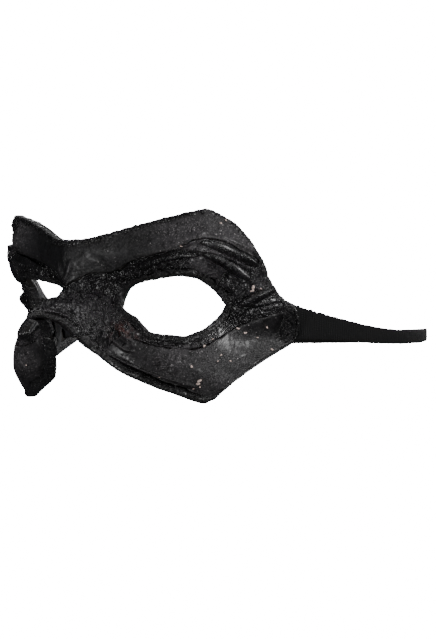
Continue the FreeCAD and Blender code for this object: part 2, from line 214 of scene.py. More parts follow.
def nearest(p, q, line):
    # how far each point is from a line of points, and what share of the line's length lies before
    # the nearest place on it
    best = np.full(np.shape(p), 1e9)
    along = np.zeros(np.shape(p))
    steps = len(line) - 1
    for number in range(steps):
        a, d = line[number], line[number + 1] - line[number]
        t = np.clip(((p - a[0]) * d[0] + (q - a[1]) * d[1]) / float(d @ d), 0.0, 1.0)
        away = np.hypot(p - a[0] - t * d[0], q - a[1] - t * d[1])
        closer = away < best
        best = np.where(closer, away, best)
        along = np.where(closer, (number + t) / steps, along)
    return best, along


# Folds and grooves pressed into the leather: height, half width and path.
foldGain = 1.35    # makes all of them higher or lower together
folds = [
    (0.75, 0.6, [(13.0, -17.0), (17.6, -20.8), (30.0, -26.6), (48.3, -32.4), (55.0, -34.4)]),
    (-1.2, 0.9, [(14.0, -19.4), (24.0, -25.6), (36.0, -30.6), (48.0, -34.8), (56.0, -36.8)]),
    (0.8, 0.6, [(-10.0, -3.4), (-2.4, -4.6), (3.5, -7.2), (9.0, -11.8), (14.0, -16.0)]),
    (-0.7, 0.7, [(-9.0, -1.6), (-1.6, -3.0), (4.6, -5.4), (10.4, -10.0)]),
    (0.8, 0.6, [(37.0, -23.4), (41.0, -22.4), (46.0, -23.6)]),
    (0.8, 0.6, [(36.6, -25.6), (40.5, -24.8), (45.6, -26.2)]),
    (0.7, 0.6, [(37.6, -27.9), (41.6, -27.0), (45.0, -28.6)]),
    (-0.7, 0.6, [(41.4, -21.2), (43.0, -24.6), (42.2, -28.6)]),
    (0.6, 0.6, [(46.6, -22.2), (47.2, -25.2), (46.0, -29.0)]),
    (-1.1, 1.1, [(27.8, 15.6), (35.8, 17.4), (42.6, 19.4), (49.4, 22.4), (55.6, 25.0)]),
    (-1.0, 1.0, [(56.2, 26.4), (64.2, 24.4), (71.0, 21.4), (76.7, 18.6), (81.0, 17.0)]),
    (0.9, 0.9, [(44.9, 20.2), (51.0, 20.9), (58.5, 19.9), (65.3, 18.4), (72.1, 15.4), (77.2, 12.4)]),
    (-0.9, 1.0, [(57.0, 16.0), (63.0, 13.6), (68.7, 9.0), (72.0, 6.5)]),
    (0.8, 1.0, [(74.0, -0.6), (80.0, 2.2), (88.0, 5.6)]),
    (-0.8, 0.9, [(74.0, -4.6), (82.0, -2.4), (91.0, 0.2)]),
    (1.0, 1.2, [(0.6, 8.2), (2.4, 12.0), (3.8, 16.8)]),
    (-0.8, 0.9, [(2.0, 6.4), (11.0, 10.2), (19.0, 8.6), (23.0, 5.4)]),
    (0.9, 0.7, [(15.0, -14.5), (20.0, -15.6), (25.4, -19.0), (29.8, -20.4)]),
    (-0.9, 0.8, [(18.0, -7.2), (21.5, -12.0), (26.0, -17.4)]),
    (1.0, 0.7, [(23.0, -10.0), (24.6, -13.6), (28.6, -15.6), (29.6, -19.2)]),
    (0.9, 0.7, [(12.0, 8.6), (16.0, 9.6), (21.0, 9.2)]),
    (0.7, 0.7, [(8.0, 1.2), (12.0, 1.8), (16.0, -0.6)]),
]


def foldField(p, q):
    # the sum of all the folds: each is a bell shape across its path that fades towards its ends
    total = np.zeros(np.shape(p))
    for high, wide, path in folds:
        away, along = nearest(p, q, curveThrough(path, 24))
        fade = np.sqrt(np.clip(4.0 * along * (1.0 - along), 0.0, 1.0))
        total = total + foldGain * high * fade * np.exp(-(away / wide) ** 2)
    return total



def wear(high):
    # the leather is rubbed paler where it stands up
    return np.clip(0.5 + 0.45 * high, 0.0, 1.0)


def quadsOf(index):
    # the four corner numbers of each square of a grid of point numbers
    corners = [index[..., :-1, :-1], index[..., 1:, :-1], index[..., 1:, 1:], index[..., :-1, 1:]]
    return np.stack(corners, axis=-1).reshape(-1, 4)


def makeMesh(name, points, quads, caps=(), values=None):
    # points in millimetres go into a mesh in metres, with a number at each point for each value
    mesh = bpy.data.meshes.new(name)
    faces = [list(map(int, quad)) for quad in quads] + [list(map(int, cap)) for cap in caps]
    mesh.from_pydata((points * mm).tolist(), [], faces)
    for label, numbers in (values or {}).items():
        layer = mesh.attributes.new(label, "FLOAT", "POINT")
        layer.data.foreach_set("value", np.ascontiguousarray(numbers, dtype=np.float32))
    mesh.polygons.foreach_set("use_smooth", [True] * len(mesh.polygons))
    mesh.update()
    piece = bpy.data.objects.new(name, mesh)
    bpy.context.scene.collection.objects.link(piece)
    return piece


def outwards(points, quads, outward):
    # turns the quads over if they face against the outward direction given at each point
    a, b, c = points[quads[:, 0]], points[quads[:, 1]], points[quads[:, 2]]
    agree = np.sum(np.cross(b - a, c - a) * outward[quads[:, 0]])
    return quads if agree > 0.0 else quads[:, ::-1]


def slabMesh(name, top, bottom, worn, pale, rust):
    # top and bottom are grids of points that share their border: the edge of the sheet
    rows, columns = top.shape[:2]
    over = np.arange(rows * columns).reshape(rows, columns)
    under = over.copy()
    added = (rows - 2) * (columns - 2)
    under[1:-1, 1:-1] = rows * columns + np.arange(added).reshape(rows - 2, columns - 2)
    points = top.reshape(-1, 3)
    everyPoint = np.vstack([points, bottom[1:-1, 1:-1].reshape(-1, 3)])
    outward = np.vstack([points - bottom.reshape(-1, 3), np.zeros((added, 3))])
    quads = quadsOf(over)
    turned = outwards(everyPoint, quads, outward)
    below = quadsOf(under)[:, [0, 3, 2, 1]]
    below = below if turned is quads else below[:, ::-1]
    hidden = np.zeros(added)
    # pale carries the painted sheen and dust of the pale areas
    return makeMesh(name, everyPoint, np.vstack([turned, below]), values={
        "wear": np.concatenate([worn.reshape(-1), hidden + 0.3]),
        "pale": np.concatenate([pale.reshape(-1), hidden]),
        "rust": np.concatenate([rust.reshape(-1), hidden])})


def tubeMesh(name, rings, endless=False, **values):
    # rings of points round a closed section, carried along a path; the ends are capped
    count, around = rings.shape[:2]
    index = np.arange(count * around).reshape(count, around)
    index = np.concatenate([index, index[:, :1]], axis=1)
    if endless:
        index = np.vstack([index, index[:1]])
    quads = quadsOf(index)
    points = rings.reshape(-1, 3)
    centres = np.repeat(rings.mean(axis=1), around, axis=0)
    turned = outwards(points, quads, points - centres)
    caps = []
    if not endless:
        first, last = list(range(around)), list(range((count - 1) * around, count * around))
        caps = [first[::-1], last] if turned is not quads else [first, last[::-1]]
    return makeMesh(name, points, turned, caps, {label: part.reshape(-1) for label, part in values.items()})


def sideOf(points, side):
    # the right half is the left half's mirror image: x changes its sign
    out = points.copy()
    out[..., 0] *= side
    return out


sides = {"left": 1.0, "right": -1.0}


def place(piece, material, nodes):
    # a finished piece that goes with the mask and stands in for the nodes
    piece.data.materials.append(material)
    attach(piece, "mask")
    if nodes:
        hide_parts(*nodes)
    return piece


outline = {
    "top": [(0.0, 24.7), (2.0, 24.7), (12.0, 25.5), (28.0, 29.7), (45.0, 33.9), (59.5, 36.9)],
    "peak": [(59.5, 36.9), (65.5, 33.6), (70.5, 30.4), (76.5, 23.6), (82.0, 15.0)],
    "side": [(82.0, 15.0), (84.0, 8.5), (90.0, 0.6), (94.0, -1.6)],
    "temple": [(94.0, -1.6), (96.0, -9.8), (94.3, -16.5)],
    "jaw": [(94.3, -16.5), (86.5, -20.9), (76.0, -27.4), (66.0, -34.8), (60.4, -40.3)],
    "tip": [(60.4, -40.3), (57.0, -40.6), (54.0, -39.9)],
    "hem": [(54.0, -39.9), (48.0, -37.8), (35.8, -33.6), (23.7, -28.0), (14.7, -21.5), (6.6, -14.9)],
    "nose": [(6.6, -14.9), (1.0, -9.8), (-2.2, -7.9), (-8.7, -6.2), (-13.3, -7.2)],
}
upperLid = [(23.3, -1.4), (24.9, 2.8), (28.0, 5.8), (34.2, 8.1), (41.6, 9.2), (49.3, 10.0), (56.4, 8.1),
            (61.6, 4.1), (66.4, -1.6)]
lowerLid = [(66.4, -1.6), (63.6, -6.0), (57.9, -10.8), (50.7, -13.9), (43.5, -13.5), (36.0, -12.5),
            (30.4, -6.8), (26.0, -4.1), (23.3, -1.4)]
browLine = [(11.0, 10.8), (19.6, 11.2), (28.4, 15.9), (43.5, 20.4), (55.3, 24.9), (63.9, 24.2),
            (74.1, 19.2), (80.8, 16.6)]
cheekLine = [(24.9, -13.0), (34.0, -17.2), (46.0, -19.0), (56.0, -18.6), (65.0, -13.9),
             (72.0, -9.8), (79.8, -7.3), (89.6, -4.4), (95.4, -3.6)]


def fillEdges(bottom, top, start, end):
    # a grid inside four edges: straight lines between bottom and top, plus straight lines
    # between start and end, less the flat patch through the four corners
    rows, columns = len(bottom), len(start)
    s = np.linspace(0.0, 1.0, rows)[:, None, None]
    t = np.linspace(0.0, 1.0, columns)[None, :, None]
    up = (1 - t) * bottom[:, None] + t * top[:, None]
    along = (1 - s) * start[None] + s * end[None]
    flat = ((1 - s) * (1 - t) * bottom[0] + s * (1 - t) * bottom[-1]
            + (1 - s) * t * top[0] + s * t * top[-1])
    return up + along - flat


def edgeDistance(grid, middle):
    # millimetres from each point of a grid to the nearest of its borders
    def run(g):
        # the lengths gone and still to go along each line of the grid
        step = np.hypot(*np.moveaxis(np.diff(g, axis=0), -1, 0))
        gone = np.vstack([np.zeros((1, g.shape[1])), np.cumsum(step, axis=0)])
        return gone, gone[-1:] - gone
    fromStart, fromEnd = run(grid)
    fromLow, fromHigh = run(np.swapaxes(grid, 0, 1))
    least = np.minimum(np.minimum(fromLow.T, fromHigh.T), fromEnd)
    return least if middle else np.minimum(least, fromStart)


# Painted sheen and dust: where the leather's colour is made paler to stand in for the sheen of the light on
# it, and where it is dusty: middle, width, height and amount.
sheenAndDustAreas = [(49.0, 28.0, 13.0, 9.0, 1.2), (72.0, 25.0, 12.0, 9.0, 1.0), (17.0, -3.0, 12.0, 8.0, 0.7),
             (47.0, -23.0, 12.0, 8.0, 1.3), (73.0, -20.0, 14.0, 8.0, 0.32), (60.0, -33.0, 8.0, 5.0, 0.6),
             (33.0, -13.0, 8.0, 6.0, 0.7), (60.0, 14.0, 10.0, 7.0, 0.9), (84.0, 4.0, 6.0, 7.0, 0.35)]
# Where rust-coloured dye shows through, in the same way.
rustyAreas = [(24.6, -12.6, 4.2, 3.6, 1.0), (30.0, -14.5, 3.5, 2.5, 0.5)]


def painted(p, q, areas):
    # the largest of the areas' bell shapes at each point
    total = np.zeros(np.shape(p))
    for atP, atQ, wide, tall, amount in areas:
        total = np.maximum(total, amount * hill(p, q, atP, atQ, wide, tall))
    return total


def layPanel(grid, style, side, middle=False):
    # a sheet of leather over the face: thickness rises from its edge in a quarter round, and
    # clouds, creases and pressed folds shape its top
    p, q = grid[..., 0], grid[..., 1]
    seed = style["seed"] + (0 if side > 0 else 40)
    edge = edgeDistance(grid, middle)
    near = 1.0 - rise(edge, 0.0, 2.0)
    p = p + style["ragged"] * near * cloud(p, q, 2.4, 2, seed + 1)
    q = q + style["ragged"] * near * cloud(p, q, 2.4, 2, seed + 2)
    roll = np.sqrt(1.0 - (1.0 - np.clip(edge / style["roll"], 0.0, 1.0)) ** 2)
    rough = (style["wave"] * cloud(p, q, 9.0, 3, seed)
             + style["crease"] * (crumple(p, q, style["size"], seed + 20) - 0.4)
             + style["grain"] * cloud(p, q, 1.6, 2, seed + 30))
    rough = rough * (1.0 - painted(p, q, style.get("calm", [])))
    pressed = foldField(p, q) if style["folds"] else 0.0
    shaped = (rough + pressed) * rise(edge, 0.0, 1.6)
    low = style["lift"] - face["skin"]
    onMiddle = None
    if middle:
        onMiddle = np.zeros(p.shape, bool)
        onMiddle[0] = True
    top = lay(p, q, low + face["skin"] * roll + shaped, onMiddle)
    bottom = lay(p, q, np.full(p.shape, low - 0.02), onMiddle)
    lipped = 0.25 * (1.0 - rise(edge, 0.3, 1.8))
    worn = wear((rough + pressed) / 1.2 + lipped)
    # the pale areas are painted sheen with real dust: paler colour where the light's sheen falls
    return (sideOf(top, side), sideOf(bottom, side), worn, painted(p, q, sheenAndDustAreas),
            painted(p, q, rustyAreas if side > 0 else []))


def middleEdge(low, high, count):
    # points down the mirror plane, from one height to another
    q = np.linspace(low, high, count)
    return np.stack([middleOf(q, 0.0), q], axis=-1)


def acrossPanel(name, grid, style):
    # one sheet over both halves, each half with its own creases, which agree at the middle
    left = layPanel(grid, style, 1.0, True)
    right = layPanel(grid, style, -1.0, True)
    blendRows = rise(np.arange(len(grid)), 0, 26)[:, None, None]
    mirror = np.array([-1.0, 1.0, 1.0])
    parts = []
    for a, b in zip(left[:2], right[:2]):
        shared = 0.5 * (a + b * mirror)
        a = shared + (a - shared) * blendRows
        b = (shared + (b * mirror - shared) * blendRows) * mirror
        parts.append(np.concatenate([b[:0:-1], a]))
    worn, pale, rust = (np.concatenate([right[k][:0:-1], left[k]]) for k in (2, 3, 4))
    return slabMesh(name, parts[0], parts[1], worn, pale, rust)


# wave, crease and grain are heights; size is the creases'; roll is how far in from its edge a
# panel's top rises, and ragged is how far that edge wanders
smoothStyle = {"wave": 0.34, "crease": 0.20, "size": 8.0, "grain": 0.05,
               "folds": True, "roll": 1.1, "ragged": 0.35}
crumpledStyle = {"wave": 0.60, "crease": 0.90, "size": 3.9, "grain": 0.22,
                 "folds": True, "roll": 1.2, "ragged": 0.4}


def browGrid():
    # between the brow line and the top edge, from the middle to the side
    start = middleEdge(5.9, 24.5, 64)
    bottom = joined([[tuple(start[0]), (3.0, 7.4)] + browLine], 250)
    top = joined([outline["top"], outline["peak"][:4] + [(81.4, 15.9)]], 250)
    end = curveThrough([tuple(bottom[-1]), tuple(top[-1])], 64)
    return fillEdges(bottom, top, start, end)


def noseGrid():
    # its outer end reaches a few millimetres over the cheek and the eye patch, where it thins out
    start = middleEdge(-7.2, 5.9, 96)
    nose = outline["nose"][-2::-1]
    bottom = joined([[tuple(start[0])] + nose, [nose[-1], (14.7, -21.5), (22.5, -26.9)]], 170)
    top = curveThrough([tuple(start[-1]), (3.0, 7.4), (11.0, 10.8), (19.6, 11.3), (24.5, 12.6)], 170)
    end = joined([[(22.5, -26.9), (27.5, -19.5), (29.8, -12.5), (28.6, -8.6)],
                  [(28.6, -8.6), (27.2, -5.2), (24.7, -2.6)],
                  [(24.7, -2.6), (23.6, -1.2), (24.6, 1.5), (25.6, 3.9)],
                  [(25.6, 3.9), (27.2, 8.0), (24.5, 12.6)]], 96)
    return fillEdges(bottom, top, start, end)


def cheekGrid():
    # between the hem and the cheek line
    hem = outline["hem"][-2::-1]
    bottom = joined([[(15.2, -21.9)] + hem[1:], outline["tip"][::-1], outline["jaw"][::-1]], 250)
    top = curveThrough(cheekLine, 250)
    start = curveThrough([(15.2, -21.9), (19.6, -17.0), cheekLine[0]], 80)
    end = curveThrough([(94.3, -16.5), (96.0, -9.8), cheekLine[-1]], 80)
    return fillEdges(bottom, top, start, end)


def patchGrid():
    # three stretches round the eye, each between the lid and the next panel's edge
    lid = curveThrough(upperLid, 400)
    under = curveThrough(lowerLid, 400)
    def part(line, low, high, count):
        # a stretch of a line, given as shares of its length
        return resample(line[int(low * 399):int(high * 399) + 1], count)
    inner = np.vstack([part(lid, 0.04, 0.88, 190),
                       resample(np.vstack([lid[351:], under[:40]]), 110),
                       part(under, 0.10, 0.90, 190)])
    outer = np.vstack([curveThrough([(21.6, 10.4)] + browLine[2:], 190),
                       joined([[(81.2, 15.8), (82.0, 15.0)], outline["side"],
                               [(94.0, -1.6), (95.2, -3.2)]], 110),
                       curveThrough(cheekLine[::-1], 190)])
    t = np.linspace(0.0, 1.0, 60)[None, :, None]
    return inner[:, None] * (1 - t) + outer[:, None] * t


def templeGrid():
    # the patch over the end of the strap
    start = curveThrough([(89.6, -17.6), (88.2, -12.0), (89.4, -6.0), (89.8, -0.4)], 50)
    end = joined([[(94.0, -16.2), (95.8, -9.8), (94.2, -2.2)], [(94.2, -2.2), (93.4, -1.6)]], 50)
    bottom = curveThrough([tuple(start[0]), tuple(end[0])], 26)
    top = curveThrough([tuple(start[-1]), tuple(end[-1])], 26)
    return fillEdges(bottom, top, start, end)



def pathNormals(line, endless=False):
    # unit direction to the left of the path, eased round its corners
    if endless:
        ahead = np.roll(line, -1, axis=0) - np.roll(line, 1, axis=0)
    else:
        ahead = np.gradient(line, axis=0)
    normal = np.stack([-ahead[:, 1], ahead[:, 0]], axis=-1)
    spread = 7
    padded = np.pad(normal, ((spread, spread), (0, 0)), mode="wrap" if endless else "edge")
    normal = sum(padded[k:k + len(line)] for k in range(2 * spread + 1))
    return normal / np.linalg.norm(normal, axis=1, keepdims=True)


def wrapSection(outWidth, inWidth, thick):
    # a section like the letter C: over the outer face, round the edge and in behind it.
    # Each point is a distance in from the edge and an offset from the outer face.
    back = face["boardInside"]
    loop = [(outWidth, 0.0), (outWidth - 0.5, 0.6 * thick), (0.6 * outWidth, thick),
            (0.2 * outWidth, 0.95 * thick), (-0.15, 0.1), (-0.35, 0.5 * back), (-0.2, back - 0.35),
            (0.5, back - 0.75), (0.7 * inWidth, back - 0.75), (inWidth, back - 0.4),
            (0.7 * inWidth, back - 0.15), (0.5, back - 0.1), (0.2, back), (0.15, 0.5 * back),
            (0.25, -0.3), (0.7, -0.35), (outWidth - 0.5, -0.35), (outWidth, 0.0)]
    return resample(curveThrough(loop, 400), 41)[:-1]


def carryWrap(name, line, style, side, endless=False, middle=False):
    # the section follows the edge; noise pulls it in and out and makes it lumpy, and a free
    # end narrows to a point over its last few millimetres
    inward = pathNormals(line, endless) * style.get("hand", -1.0)
    section = wrapSection(style["out"], style["inside"], style["thick"])
    d, o = section[None, :, 0], section[None, :, 1]
    seed = style["seed"] + (0 if side > 0 else 40)
    atP, atQ = line[:, :1], line[:, 1:]
    wide = 1.0 + style["uneven"] * cloud(atP, atQ, 4.0, 3, seed)
    d = np.where(d > 0.3, d * wide, d)
    d = d + style["ragged"] * cloud(atP, atQ, 1.3, 3, seed + 4) - style["push"]
    p = atP + inward[:, :1] * d
    q = atQ + inward[:, 1:] * d
    outer = rise(o, -1.2, 0.2)
    lump = style["lump"] * (crumple(p, q, style["size"], seed + 7) - 0.4)
    lump = lump + 0.35 * style["lump"] * cloud(p, q, 0.8, 2, seed + 8)
    o = o + lump * outer
    if not endless:
        gone = np.concatenate([[0.0], np.cumsum(np.hypot(*np.diff(line, axis=0).T))])
        far = gone[-1] - gone if middle else np.minimum(gone, gone[-1] - gone)
        full = np.sqrt(1.0 - (1.0 - np.clip(far / 2.5, 0.02, 1.0)) ** 2)[:, None]
        d = 0.6 + (d - 0.6) * full
        o = -0.8 + (o + 0.8) * full
    p = atP + inward[:, :1] * d
    q = atQ + inward[:, 1:] * d
    onMiddle = None
    if middle:
        onMiddle = np.zeros(p.shape, bool)
        onMiddle[0] = True
    rings = sideOf(lay(p, q, o, onMiddle), side)
    worn = wear(lump / max(style["lump"], 0.1) * 0.7) * outer + 0.35 * (1 - outer)
    if middle:
        # the other half is the mirror image
        rings = np.concatenate([sideOf(rings, -1.0)[:0:-1], rings])
        worn = np.concatenate([worn[:0:-1], worn])
    return tubeMesh(name, rings, endless, wear=worn)


def carryFold(name, points, style, side):
    # a lapped fold: across it the height climbs slowly and drops steeply, and both its width
    # and height shrink to nothing at its ends
    line = curveThrough(points, style["count"])
    normal = pathNormals(line)
    along = np.linspace(0.0, 1.0, len(line))[:, None]
    swell = np.clip(4.0 * along * (1.0 - along), 0.0, 1.0) ** 0.45
    swell = np.maximum(swell, 0.04)
    across = np.concatenate([np.linspace(-1.0, 1.0, 26), np.linspace(1.0, -1.0, 12)[1:-1]])[None, :]
    top = np.arange(across.shape[1])[None, :] < 26
    lean = style["lean"]
    peak = np.where(across < lean, (across + 1.0) / (1.0 + lean), (1.0 - across) / (1.0 - lean))
    height = style["high"] * np.sin(0.5 * np.pi * np.clip(peak, 0.0, 1.0)) ** 0.9
    seed = style["seed"] + (0 if side > 0 else 40)
    wander = 1.0 + 0.25 * cloud(line[:, :1], line[:, 1:], 5.0, 2, seed)
    d = across * 0.5 * style["wide"] * swell * wander
    p = line[:, :1] + normal[:, :1] * d
    q = line[:, 1:] + normal[:, 1:] * d
    lump = style["lump"] * (crumple(p, q, 2.6, seed + 3) - 0.4)
    o = np.where(top, -0.15 + (0.35 + height) * swell + lump * swell * np.clip(peak, 0, 1), -0.45)
    rings = sideOf(lay(p, q, o), side)
    worn = wear(np.where(top, height / style["high"] * 0.9 + lump - 0.5, -0.4))
    return tubeMesh(name, rings, wear=worn)


class Value:
    # one output of a material's nodes; sums and products of values add Math nodes
    def __init__(self, maker, socket):
        # maker is the material that new nodes go into
        self.maker = maker
        self.socket = socket

    def math(self, operation, *others):
        # one Math node with this value as its first input
        sockets = dict(enumerate((self,) + others))
        return self.maker.node("ShaderNodeMath", {"operation": operation}, sockets)

    def __add__(self, other):
        # self + other, either way round
        return self.math("ADD", other)

    __radd__ = __add__

    def __mul__(self, other):
        # self times other, either way round
        return self.math("MULTIPLY", other)

    __rmul__ = __mul__

    def __sub__(self, other):
        # self - other
        return self.math("SUBTRACT", other)

    def __rsub__(self, other):
        # other - self
        return (self * -1.0) + other


class Finish:
    # a material with one Principled shader
    def __init__(self, name, **constants):
        # constants are written straight into the shader's inputs
        self.material = bpy.data.materials.new(name)
        self.material.use_nodes = True
        self.tree = self.material.node_tree
        self.tree.nodes.clear()
        self.shader = self.tree.nodes.new("ShaderNodeBsdfPrincipled")
        output = self.tree.nodes.new("ShaderNodeOutputMaterial")
        self.tree.links.new(self.shader.outputs[0], output.inputs[0])
        for key, value in constants.items():
            self.shader.inputs[key].default_value = value

    def node(self, kind, settings=None, sockets=None, out=0):
        # one node: a Value is linked to its input and a number is written into it
        made = self.tree.nodes.new(kind)
        for key, value in (settings or {}).items():
            setattr(made, key, value)
        for key, value in (sockets or {}).items():
            if isinstance(value, Value):
                self.tree.links.new(value.socket, made.inputs[key])
            else:
                made.inputs[key].default_value = value
        return Value(self, made.outputs[out])

    def feed(self, socketName, value):
        # the value drives one input of the shader
        self.tree.links.new(value.socket, self.shader.inputs[socketName])

    def place(self):
        # Object coordinates in millimetres
        at = self.node("ShaderNodeTexCoord", out="Object")
        return self.node("ShaderNodeVectorMath", {"operation": "SCALE"}, {0: at, "Scale": 1000.0})

    def clouds(self, at, size, detail=2.0, bend=0.0):
        # smooth noise around 0.5, with blots about size millimetres wide
        return self.node("ShaderNodeTexNoise", None,
                         {"Vector": at, "Scale": 1.0 / size, "Detail": detail, "Distortion": bend})

    def cells(self, at, size, feature="F1"):
        # distance to the nearest of scattered points, or cell edges, in cells of size millimetres
        return self.node("ShaderNodeTexVoronoi", {"feature": feature}, {"Vector": at, "Scale": 1.0 / size})

    def between(self, value, low, high):
        # t = (value - low) / (high - low) held within 0 to 1, then 3 t^2 - 2 t^3
        return self.node("ShaderNodeMapRange", {"interpolation_type": "SMOOTHSTEP"},
                         {"Value": value, "From Min": low, "From Max": high})

    def blend(self, factor, first, second):
        # colours are mixed here, because a Math node would turn them grey
        made = self.tree.nodes.new("ShaderNodeMix")
        made.data_type = "RGBA"
        for socket, value in zip((made.inputs[0], made.inputs[6], made.inputs[7]), (factor, first, second)):
            if isinstance(value, Value):
                self.tree.links.new(value.socket, socket)
            else:
                socket.default_value = value if isinstance(value, float) else (*value, 1.0)
        return Value(self, made.outputs[2])

    def values(self, *labels):
        # numbers that the piece holds at its points
        return [self.node("ShaderNodeAttribute", {"attribute_name": label}, out="Fac") for label in labels]

    def bump(self, height, distance):
        # distance in millimetres
        return self.node("ShaderNodeBump", None, {"Height": height, "Distance": distance * mm})


# pale is the colour of painted sheen with dust, put over the pale areas in place of the light's sheen
leatherLook = {
    "black": (0.0052, 0.0049, 0.0054), "soft": (0.014, 0.0132, 0.0145), "pale": (0.050, 0.046, 0.050),
    "rubbed": (0.085, 0.078, 0.084), "dust": (0.50, 0.47, 0.48), "rust": (0.060, 0.022, 0.018),
}


def makeLeather(name, gloss, grain, dusty, rubbed, rusty=0.0):
    # black leather: fine pebbled grain, cloudy sheen, paler where it is rubbed, painted sheen and dust in
    # the pale areas, specks of dust
    made = Finish(name, **{"Specular IOR Level": 0.5, "Coat Roughness": 0.22})
    at = made.place()
    worn, pale, rust = made.values("wear", "pale", "rust")
    broad = made.clouds(at, 11.0, 3.0, 0.4)
    middle = made.clouds(at, 2.6, 4.0, 0.6)
    fine = made.clouds(at, 0.55, 3.0)
    pebble = made.cells(at, 0.62, "DISTANCE_TO_EDGE")
    bent = made.node("ShaderNodeTexNoise", None, {"Vector": at, "Scale": 0.7, "Detail": 2.0}, out="Color")
    bent = made.node("ShaderNodeVectorMath", {"operation": "ADD"}, {0: at, 1: bent})
    crease = 1.0 - made.between(made.cells(bent, 1.9, "DISTANCE_TO_EDGE"), 0.0, 0.10)
    clouded = made.between(broad * 0.55 + middle * 0.45, 0.36, 0.66)
    tone = made.blend(clouded, leatherLook["black"], leatherLook["soft"])
    # painted sheen: the pale areas take a paler colour where the light's sheen falls, together with real
    # dust
    tone = made.blend(pale * made.between(middle * 0.6 + fine * 0.4, 0.34, 0.60), tone, leatherLook["pale"])
    rub = made.between(worn + middle * 0.5, 0.92, 1.28) * made.between(fine, 0.38, 0.62) * rubbed
    tone = made.blend(rub, tone, leatherLook["rubbed"])
    if rusty:
        stain = rust * made.between(middle, 0.45, 0.60) * rusty
        tone = made.blend(stain, tone, leatherLook["rust"])
    speck = made.cells(at, 1.7)
    chosen = made.between(made.clouds(at, 4.0, 2.0) + pale * 0.13, 0.53, 0.64)
    dust = (1.0 - made.between(speck, 0.06, 0.16)) * chosen * dusty
    powder = made.between(made.clouds(at, 0.6, 2.0), 0.54, 0.72) * (pale + 0.10) * (0.34 * dusty)
    tone = made.blend(dust.math("MAXIMUM", powder), tone, leatherLook["dust"])
    made.feed("Base Color", tone)
    rough = (1.0 - gloss) + 0.30 * (middle - 0.5) + 0.20 * (fine - 0.5) + 0.18 * pale + 0.3 * dust
    made.feed("Roughness", rough.math("MAXIMUM", 0.20).math("MINIMUM", 0.9))
    made.feed("Coat Weight", made.between(broad, 0.36, 0.62) * (0.5 * gloss))
    height = 0.10 * made.between(pebble, 0.0, 0.22) + 0.25 * fine + 0.65 * middle - 0.30 * crease * grain
    made.feed("Normal", made.bump(height, 0.75 * grain))
    return made.material


def makeCloth(name, tone, pitch):
    # plain weave: the sine of the way along times the sine of the way across, both in millimetres
    made = Finish(name, **{"Roughness": 0.85, "Specular IOR Level": 0.25,
                           "Sheen Weight": 0.25, "Sheen Roughness": 0.5})
    at = made.place()
    along, across = made.values("along", "across")
    over = (along * (2 * math.pi / pitch)).math("SINE") * (across * (2 * math.pi / pitch)).math("SINE")
    fuzz = made.clouds(at, 0.4, 3.0)
    woven = made.between(over * 0.25 + fuzz, 0.3, 0.8)
    made.feed("Base Color", made.blend(woven, [0.5 * c for c in tone], tone))
    made.feed("Normal", made.bump(over * 0.5 + fuzz * 0.6, 0.15))
    return made.material


def makeElastic():
    # knitted elastic: cross ribs, each a row of small loops, with lint on it
    made = Finish("knitElastic", **{"Specular IOR Level": 0.15,
                                    "Sheen Weight": 0.05, "Sheen Roughness": 0.45})
    at = made.place()
    along, across = made.values("along", "across")
    lint = made.clouds(at, 0.35, 4.0)
    patchy = made.clouds(at, 7.0, 2.0)
    rib = ((along + patchy * 1.5 + lint * 0.35) * (2 * math.pi / 1.15)).math("SINE")
    loops = (across * (2 * math.pi / 0.9) + rib * 1.3).math("SINE")
    seen = made.between(made.clouds(at, 3.0, 3.0), 0.46, 0.62)
    height = (rib * 0.42 + loops * 0.18) * (seen * 0.8 + 0.2) + lint * 0.5
    lit = made.between((rib * 0.35 + loops * 0.15) * seen + lint, 0.35, 0.95)
    tone = made.blend(lit, (0.0030, 0.0030, 0.0033), (0.0085, 0.0082, 0.0088))
    specks = made.between(lint, 0.66, 0.80) * made.between(patchy, 0.42, 0.62) * 0.5
    tone = made.blend(specks, tone, (0.10, 0.10, 0.105))
    made.feed("Base Color", tone)
    made.feed("Roughness", 0.72 + 0.2 * lint)
    made.feed("Normal", made.bump(height, 0.22))
    return made.material


def makePlain(name, tone, rough, size, depth):
    # one colour in two shades, with grain of the given size and depth
    made = Finish(name, **{"Specular IOR Level": 0.35})
    at = made.place()
    grain = made.clouds(at, size, 4.0)
    made.feed("Base Color", made.blend(made.between(grain, 0.35, 0.65), [0.6 * c for c in tone], tone))
    made.feed("Roughness", rough + 0.2 * (grain - 0.5))
    made.feed("Normal", made.bump(grain, depth))
    return made.material


smoothLeather = makeLeather("smoothLeather", 0.56, 0.6, 1.0, 0.7)
foldedLeather = makeLeather("foldedLeather", 0.74, 0.55, 0.5, 1.0)
crumpledLeather = makeLeather("crumpledLeather", 0.80, 0.85, 0.6, 1.0, 1.0)
edgeLeather = makeLeather("edgeLeather", 0.62, 1.0, 0.7, 1.0)
liningCloth = makeCloth("liningCloth", (0.034, 0.034, 0.037), 0.7)
knitElastic = makeElastic()
board = makePlain("baseBoard", (0.022, 0.019, 0.018), 0.8, 0.5, 0.12)
threadFinish = makePlain("blackThread", (0.011, 0.010, 0.011), 0.6, 0.15, 0.06)
chipFinish = makePlain("palePaint", (0.95, 0.76, 0.68), 0.7, 0.4, 0.1)
print("finishes made")

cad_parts["base_shell"].data.materials.clear()
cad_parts["base_shell"].data.materials.append(board)

